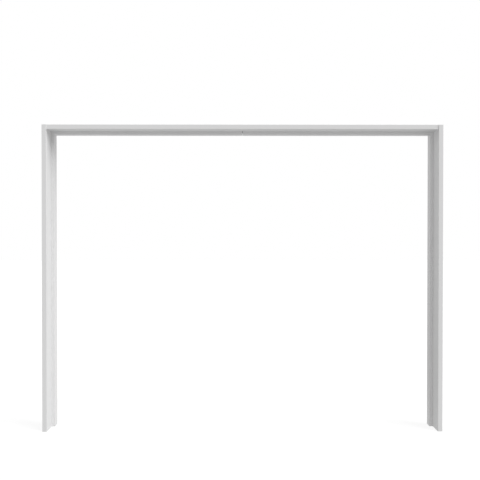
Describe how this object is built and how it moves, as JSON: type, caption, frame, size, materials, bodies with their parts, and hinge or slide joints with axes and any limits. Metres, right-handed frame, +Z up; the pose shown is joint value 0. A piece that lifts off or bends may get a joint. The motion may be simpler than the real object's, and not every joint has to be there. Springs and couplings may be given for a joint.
{
  "type": "doorway surround",
  "caption": "Wide white doorway lining: two jambs, a head housed between them, and planted stops that leave a deep rebate for a door on the near side.",
  "frame": {"origin": "on the floor, in the middle of the surround's width and depth", "axes": "+X to the right along the wall as seen from the near side, +Y through the wall away from the near side, where the rebate is, and +Z up"},
  "size_m": [2.808, 0.215, 2.152],
  "materials": {
    "white_painted_timber": "white satin paint on planed timber",
    "screw_steel": "bright zinc plate"
  },
  "bodies": {
    "root": {"head": "white_painted_timber", "left_jamb": "white_painted_timber", "right_jamb": "white_painted_timber", "left_stop": "white_painted_timber", "right_stop": "white_painted_timber", "left_head_stop": "white_painted_timber", "right_head_stop": "white_painted_timber", "left_corner_screw_1": "screw_steel", "right_corner_screw_1": "screw_steel", "left_corner_screw_2": "screw_steel", "right_corner_screw_2": "screw_steel", "left_corner_screw_3": "screw_steel", "right_corner_screw_3": "screw_steel", "left_corner_screw_4": "screw_steel", "right_corner_screw_4": "screw_steel"}
  },
  "joints": []
}
